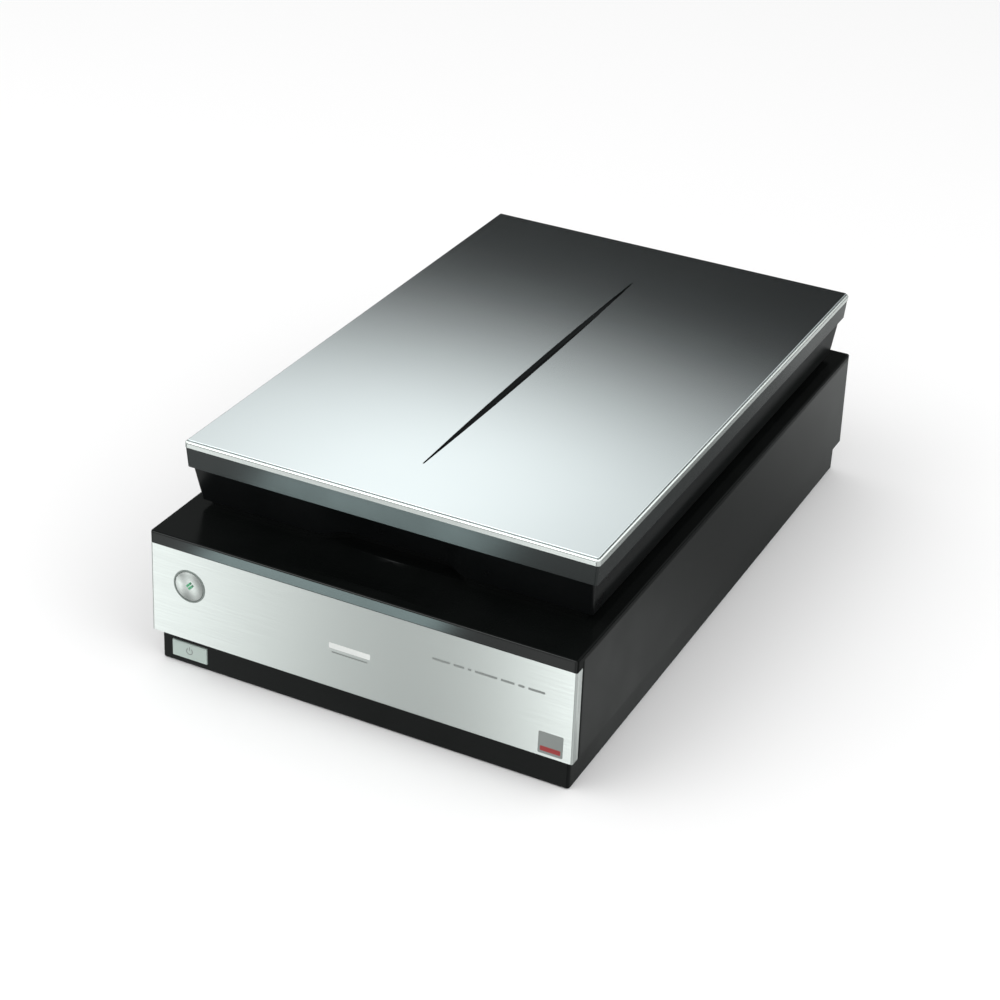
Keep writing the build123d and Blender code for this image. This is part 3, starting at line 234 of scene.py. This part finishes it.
def make_stage():
    mesh = bpy.data.meshes.new("floor")
    corners = [(a * FLOOR_HALF, b * FLOOR_HALF, 0) for a, b in ((-1, -1), (1, -1), (1, 1), (-1, 1))]
    mesh.from_pydata(corners, [], [(0, 1, 2, 3)])
    floor = bpy.data.objects.new("floor", mesh)
    bpy.context.scene.collection.objects.link(floor)
    material = bpy.data.materials.new("floor_white")
    material.use_nodes = True
    n = Nodes(material.node_tree)
    paper = n.add("ShaderNodeBsdfDiffuse", Color=FLOOR_TONE)
    n.add("ShaderNodeOutputMaterial", Surface=paper.outputs[0])
    mesh.materials.append(material)
    floor.visible_glossy = False


make_world()
area_light("key", (-0.9, -1.2, 2.0), (0, 0, 0), 1.6, 1.6, KEY_POWER)
area_light("fill", (1.6, -0.6, 1.5), (0, 0, 0), 1.5, 1.5, FILL_POWER)
make_stage()
front_card()
bpy.context.scene.view_settings.view_transform = "Standard"


# ---- materials -----------------------------------------------------------
MATERIALS = {}
CLOUDS_PER_METRE = 24.0
SPECKS_PER_METRE = 1400.0
SCUFFS_PER_METRE = 90.0
FINE_DEPTH = 0.00002
BRUSH_STRETCH = 220
COAT_ROUGHNESS = 0.12


def surface(name, color, metallic=0.0, roughness=0.5, specular=0.5, vary=0.08, grain=None, coat=0.0,
            brush=None, wear=0.0, anisotropic=0.0, front_specular=None, uneven=0.1):
    """A principled material with cloudy colour, uneven gloss, and grain or brushing as real relief.

    grain is (size in metres, depth in metres); brush is (axis, lines per metre, depth in metres).
    front_specular is the specular level of faces that look to the front, where it differs.
    """
    material = bpy.data.materials.new(name)
    material.use_nodes = True
    n = Nodes(material.node_tree)
    place = n.add("ShaderNodeTexCoord").outputs["Object"]
    cloud = n.add("ShaderNodeTexNoise", Vector=place, Scale=CLOUDS_PER_METRE, Detail=4.0).outputs["Fac"]
    speck = n.add("ShaderNodeTexNoise", Vector=place, Scale=SPECKS_PER_METRE, Detail=2.0).outputs["Fac"]
    pale = [min(1.0, c * (1 + vary) + 0.001) for c in color] + [1]
    deep = [c * (1 - vary) for c in color] + [1]
    tone = n.mix(n.ramp(cloud, 0.3, 0.7, 0.0, 1.0), deep, pale)
    rough = n.ramp(cloud, 0.3, 0.7, roughness * (1 - uneven), min(1.0, roughness * (1 + uneven)))
    relief = n.math("MULTIPLY", speck, 0.15)
    depth = FINE_DEPTH
    if grain:
        size, depth = grain
        pebble = n.add("ShaderNodeTexVoronoi", {"feature": "SMOOTH_F1"}, Vector=place, Scale=1 / size)
        fleck = n.add("ShaderNodeTexNoise", Vector=place, Scale=0.7 / size, Detail=3.0)
        relief = n.math("ADD", n.math("MULTIPLY", pebble.outputs["Distance"], 0.7),
                        n.math("MULTIPLY", fleck.outputs["Fac"], 0.6))
    if brush:
        axis, lines, depth = brush
        scale = [lines] * 3
        scale["XYZ".index(axis)] = lines / BRUSH_STRETCH
        stretched = n.add("ShaderNodeMapping", Vector=place, Scale=scale).outputs[0]
        streaks = n.add("ShaderNodeTexNoise", Vector=stretched, Scale=1.0, Detail=3.0, Roughness=0.7)
        line = streaks.outputs["Fac"]
        relief = line
        tone = n.mix(n.ramp(line, 0.35, 0.65, 0.0, 0.4), tone, [c * 0.92 for c in color] + [1])
        rough = n.math("ADD", rough, n.ramp(line, 0.3, 0.7, -0.03, 0.04), clamp=True)
    if wear:
        scuff = n.add("ShaderNodeTexNoise", Vector=place, Scale=SCUFFS_PER_METRE, Detail=6.0,
                      Roughness=0.75)
        rubbed = n.ramp(scuff.outputs["Fac"], 0.62, 0.74, 0.0, wear)
        tone = n.mix(rubbed, tone, [min(1.0, c * 1.5 + 0.003) for c in color] + [1])
        rough = n.math("ADD", rough, n.math("MULTIPLY", rubbed, 0.2), clamp=True)
    bump = n.add("ShaderNodeBump", Height=relief, Strength=1.0, Distance=depth)
    shader = n.add("ShaderNodeBsdfPrincipled", Base_Color=tone, Roughness=rough, Normal=bump.outputs[0])
    shader.inputs["Metallic"].default_value = metallic
    shader.inputs["Specular IOR Level"].default_value = specular
    shader.inputs["Coat Weight"].default_value = coat
    shader.inputs["Coat Roughness"].default_value = COAT_ROUGHNESS
    if front_specular is not None:
        normal = n.add("ShaderNodeNewGeometry").outputs["True Normal"]
        facing = n.add("ShaderNodeSeparateXYZ", Vector=normal)
        level = n.ramp(n.math("MULTIPLY", facing.outputs["Y"], -1.0), 0.6, 0.8, specular, front_specular)
        n.set(shader.inputs["Specular IOR Level"], level)
    if anisotropic:
        shader.inputs["Anisotropic"].default_value = anisotropic
        tangent = n.add("ShaderNodeTangent", {"direction_type": "RADIAL", "axis": "X"})
        n.set(shader.inputs["Tangent"], tangent.outputs[0])
    n.add("ShaderNodeOutputMaterial", Surface=shader.outputs[0])
    MATERIALS[name] = material
    return material


surface("case_black", (0.003, 0.0038, 0.0035), roughness=0.2, specular=0.16,
        grain=(0.0007, 0.000002), wear=0.1)
surface("cover_black", (0.003, 0.0036, 0.0034), roughness=0.2, specular=0.03,
        front_specular=0.5, wear=0.06)
surface("silver_fascia", (0.83, 0.87, 0.85), metallic=1.0, roughness=0.15, vary=0.004,
        brush=("X", 5200.0, 0.0000008), anisotropic=0.6, uneven=0.02)
surface("button_silver", (0.86, 0.91, 0.88), metallic=0.9, roughness=0.2, vary=0.02,
        brush=("X", 5200.0, 0.000001))
surface("bezel_silver", (0.34, 0.38, 0.36), metallic=0.9, roughness=0.3, vary=0.03,
        brush=("X", 5200.0, 0.000001))
surface("button_grey", (0.46, 0.54, 0.50), roughness=0.38, vary=0.04, grain=(0.0005, 0.000004))
surface("rubber_black", (0.02, 0.02, 0.02), roughness=0.75, grain=(0.0009, 0.00003))
surface("zinc_steel", (0.55, 0.56, 0.57), metallic=1.0, roughness=0.38,
        brush=("Y", 1500.0, 0.000008), wear=0.2)
surface("ground_steel", (0.66, 0.67, 0.68), metallic=1.0, roughness=0.16, brush=("X", 3000.0, 0.000002))
surface("motor_grey", (0.33, 0.34, 0.35), metallic=0.9, roughness=0.4,
        brush=("Z", 1800.0, 0.000006), wear=0.2)
surface("milk_glass", (0.86, 0.88, 0.88), roughness=0.25, vary=0.02, coat=0.5)
surface("lamp_glass", (0.93, 0.93, 0.90), roughness=0.15, vary=0.02, coat=0.6)
surface("mirror_glass", (0.85, 0.87, 0.88), metallic=1.0, roughness=0.04, vary=0.02)
surface("reflector_metal", (0.80, 0.81, 0.82), metallic=1.0, roughness=0.2,
        brush=("X", 1800.0, 0.000004))
surface("carriage_black", (0.012, 0.012, 0.014), roughness=0.55, grain=(0.0012, 0.00003), wear=0.15)
surface("gear_white", (0.74, 0.72, 0.66), roughness=0.45, specular=0.4, vary=0.05)
surface("bush_bronze", (0.55, 0.38, 0.18), metallic=1.0, roughness=0.42, grain=(0.0006, 0.00002))
surface("lens_black", (0.03, 0.03, 0.035), metallic=0.6, roughness=0.28, brush=("X", 2400.0, 0.000006))
surface("port_shell", (0.56, 0.56, 0.54), metallic=1.0, roughness=0.3, brush=("X", 1600.0, 0.000005))
surface("port_black", (0.012, 0.012, 0.013), roughness=0.5, grain=(0.0006, 0.00001))
surface("hinge_black", (0.008, 0.009, 0.009), roughness=0.45, specular=0.3,
        grain=(0.0008, 0.00001), wear=0.15)
surface("lid_plate_silver", (0.76, 0.81, 0.825), metallic=1.0, roughness=0.09, vary=0.006,
        grain=(0.00035, 0.0000003), uneven=0.01)
surface("trim_silver", (0.90, 0.94, 0.92), metallic=1.0, roughness=0.2, vary=0.02,
        brush=("X", 4000.0, 0.000001))
surface("band_grey", (0.010, 0.013, 0.013), roughness=0.24, specular=0.5, vary=0.05,
        grain=(0.0005, 0.000001))
surface("skirt_black", (0.004, 0.0046, 0.0048), roughness=0.3, specular=0.2, grain=(0.0009, 0.000006))
surface("slot_black", (0.002, 0.0025, 0.0025), roughness=0.2, specular=0.01)
surface("mat_white", (0.82, 0.82, 0.80), roughness=0.5, vary=0.02, grain=(0.0006, 0.00001))
surface("mark_green", (0.10, 0.42, 0.22), roughness=0.35, vary=0.05, grain=(0.0004, 0.000004))
surface("mark_red", (0.30, 0.03, 0.03), roughness=0.4, vary=0.05, grain=(0.0004, 0.000004))
surface("mark_grey", (0.22, 0.24, 0.23), roughness=0.45, vary=0.05, grain=(0.0004, 0.000004))
surface("mark_white", (0.70, 0.72, 0.70), roughness=0.5, vary=0.04, grain=(0.0004, 0.000004))


def board_material():
    """Green solder mask over copper tracks, with tinned pads."""
    material = bpy.data.materials.new("board_green")
    material.use_nodes = True
    n = Nodes(material.node_tree)
    place = n.add("ShaderNodeTexCoord").outputs["Object"]
    tracks = n.add("ShaderNodeTexBrick", Vector=place, Scale=260.0, Mortar_Size=0.06, Brick_Width=0.9)
    pads = n.add("ShaderNodeTexVoronoi", Vector=place, Scale=340.0).outputs["Distance"]
    line = n.ramp(tracks.outputs["Fac"], 0.3, 0.7, 0.0, 1.0)
    pad = n.ramp(pads, 0.1, 0.14, 1.0, 0.0)
    tone = n.mix(line, (0.012, 0.10, 0.04, 1), (0.03, 0.19, 0.08, 1))
    tone = n.mix(pad, tone, (0.6, 0.6, 0.56, 1))
    rough = n.ramp(pad, 0.0, 1.0, 0.3, 0.42)
    height = n.math("ADD", n.math("MULTIPLY", line, 0.5), pad)
    bump = n.add("ShaderNodeBump", Height=height, Strength=0.6, Distance=0.0001)
    shader = n.add("ShaderNodeBsdfPrincipled", Base_Color=tone, Roughness=rough, Normal=bump.outputs[0])
    n.set(shader.inputs["Metallic"], n.math("MULTIPLY", pad, 0.9))
    n.add("ShaderNodeOutputMaterial", Surface=shader.outputs[0])
    MATERIALS["board_green"] = material


def glass_material():
    """Clear plate with a faint dust film and a green edge."""
    material = bpy.data.materials.new("clear_glass")
    material.use_nodes = True
    n = Nodes(material.node_tree)
    place = n.add("ShaderNodeTexCoord").outputs["Object"]
    clouds = n.add("ShaderNodeTexNoise", Vector=place, Scale=60.0, Detail=6.0, Roughness=0.7)
    dust = clouds.outputs["Fac"]
    rough = n.ramp(dust, 0.4, 0.75, 0.015, 0.06)
    tone = n.mix(n.ramp(dust, 0.3, 0.8, 0.0, 1.0), (0.94, 0.985, 0.965, 1), (0.90, 0.955, 0.935, 1))
    shader = n.add("ShaderNodeBsdfPrincipled", Base_Color=tone, Roughness=rough)
    shader.inputs["Transmission Weight"].default_value = 1.0
    shader.inputs["IOR"].default_value = 1.5
    n.add("ShaderNodeOutputMaterial", Surface=shader.outputs[0])
    MATERIALS["clear_glass"] = material


board_material()
glass_material()

slot_of = {part["node"]: part["material_slot"] for part in frame["record"]["subparts"]}
for name, node in frame["nodes"].items():
    material = MATERIALS["bezel_silver" if name == "start_button_bezel" else slot_of[name]]
    if node.data.materials:
        node.data.materials[0] = material
    else:
        node.data.materials.append(material)


# ---- raised marks and small plates ---------------------------------------
def plate(name, outline, plane, height, body, material, bevel=0.00006):
    """A thin raised mark: an outline in millimetres on a plane, pushed out by height.

    plane is (origin, right, up) with origin in metres; outline points are (right, up) pairs.
    """
    origin, right, up = (Vector(v) for v in plane)
    out = right.cross(up)
    mesh = bmesh.new()
    back = [mesh.verts.new(origin + (right * a + up * b) * MM) for a, b in outline]
    front = [mesh.verts.new(v.co + out * height) for v in back]
    mesh.faces.new(front)
    mesh.faces.new(list(reversed(back)))
    for i in range(len(back)):
        j = (i + 1) % len(back)
        mesh.faces.new((back[i], back[j], front[j], front[i]))
    bmesh.ops.recalc_face_normals(mesh, faces=mesh.faces)
    rim = [e for e in mesh.edges if e.verts[0] in front and e.verts[1] in front]
    bmesh.ops.bevel(mesh, geom=rim, offset=bevel, segments=2, profile=0.5, affect="EDGES")
    data = bpy.data.meshes.new(name)
    mesh.to_mesh(data)
    mesh.free()
    data.materials.append(MATERIALS[material])
    piece = bpy.data.objects.new(name, data)
    bpy.context.scene.collection.objects.link(piece)
    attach(piece, body)
    return piece


def rounded(x0, x1, y0, y1, radius, steps=4):
    """The outline of a rectangle with rounded corners."""
    points = []
    for cx, cy, start in ((x1 - radius, y1 - radius, 0), (x0 + radius, y1 - radius, 90),
                          (x0 + radius, y0 + radius, 180), (x1 - radius, y0 + radius, 270)):
        for i in range(steps + 1):
            a = math.radians(start + 90 * i / steps)
            points.append((cx + radius * math.cos(a), cy + radius * math.sin(a)))
    return points


def arc_band(radius, width, start, end, steps=24):
    """The outline of part of a ring."""
    turns = [math.radians(start + (end - start) * i / steps) for i in range(steps + 1)]
    outer = [(radius * math.cos(a), radius * math.sin(a)) for a in turns]
    inner = [((radius - width) * math.cos(a), (radius - width) * math.sin(a)) for a in reversed(turns)]
    return outer + inner


def front_plane(node, x=0.0, z=0.0):
    """A plane on a node's front face, centred where x and z are given in metres."""
    low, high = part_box(node)
    return ((x, low[1], z), (1, 0, 0), (0, 0, 1))


def middle(node):
    """The middle of a node's box."""
    low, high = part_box(node)
    return [(a + b) / 2 for a, b in zip(low, high)]


# heights of raised marks above the surface they sit on, and how deep they are rooted, in metres
MARK = 0.00016
PRINT = 0.00012
THIN = 0.00008
SUNK = 0.00004
FINE_BEVEL = 0.00003
SCALE_BEVEL = 0.00002
# the fascia's row of dashes, and the scales beside the glass, in millimetres
DASH_START = 55.0
DASH_STEPS = (14, 9, 4, 17, 11, 6, 13)
DASH_GAP = 1.6
SCALE_X = 110.5
SCALE_FIRST_Y = 150
SCALE_STEP = 10
SCALE_COUNT = 31
SCALE_HALF_LINE = 0.2


def sunk(plane, depth=SUNK):
    """The same plane moved a little into the material, so that the mark is rooted in it."""
    origin, right, up = (Vector(v) for v in plane)
    return origin - right.cross(up) * depth, right, up


def fascia_marks():
    face = sunk(front_plane("front_fascia"))
    bar = rounded(-19, 11, 53.5, 57.5, 0.6)
    plate("fascia_bar", bar, face, MARK, "base", "mark_white")
    plate("fascia_line", rounded(-17, 9, 50.4, 51.4, 0.4), face, MARK, "base", "mark_grey")
    x = DASH_START
    for i, width in enumerate(DASH_STEPS):
        dash = rounded(x, x + width - DASH_GAP, 69.2, 70.8, 0.5)
        plate(f"fascia_dash_{i}", dash, face, MARK, "base", "mark_grey")
        x += width + 0.9
    plate("fascia_badge", rounded(130, 147, 26, 42, 1.0), face, MARK, "base", "mark_grey")
    raised = sunk(front_plane("front_fascia"), SUNK - MARK)
    stripe = rounded(131.5, 145.5, 28, 31.5, 0.5)
    plate("fascia_badge_bar", stripe, raised, THIN, "base", "mark_red", bevel=FINE_BEVEL)


def button_marks():
    x, y, z = middle("start_button")
    cap = sunk(front_plane("start_button", x, z))
    for i, (a, b) in enumerate(((0, 1.5), (1.5, 0), (0, -1.5), (-1.5, 0))):
        diamond = [(a - 1.1, b), (a, b - 1.1), (a + 1.1, b), (a, b + 1.1)]
        plate(f"start_mark_{i}", diamond, cap, MARK, "start_button", "mark_green", bevel=FINE_BEVEL)
    x, y, z = middle("power_button")
    cap = sunk(front_plane("power_button", x, z - 0.0004))
    plate("power_mark_ring", arc_band(2.6, 0.6, 125, 415), cap, MARK, "power_button", "mark_grey")
    plate("power_mark_bar", rounded(-0.3, 0.3, 0.6, 3.4, 0.2), cap, MARK, "power_button", "mark_grey")


def platen_marks():
    """Plain scale lines on the frame beside the glass, and an arrow at the start corner."""
    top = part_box("top_cover")[1][2]
    face = sunk(((0, 0, top), (1, 0, 0), (0, 1, 0)))
    for side, side_name in ((-1, "left"), (1, "right")):
        for i in range(SCALE_COUNT):
            length = 3.2 if i % 5 == 0 else 1.8
            x = sorted((side * SCALE_X, side * (SCALE_X + length)))
            y = SCALE_FIRST_Y - i * SCALE_STEP
            line = rounded(x[0], x[1], y - SCALE_HALF_LINE, y + SCALE_HALF_LINE, 0.1)
            plate(f"scale_{side_name}_{i}", line, face, PRINT, "base", "mark_white", bevel=SCALE_BEVEL)
    arrow = [(-114.5, 156.5), (-110.5, 156.5), (-114.5, 160.5)]
    plate("corner_arrow", arrow, face, PRINT, "base", "mark_white", bevel=FINE_BEVEL)


fascia_marks()
button_marks()
platen_marks()
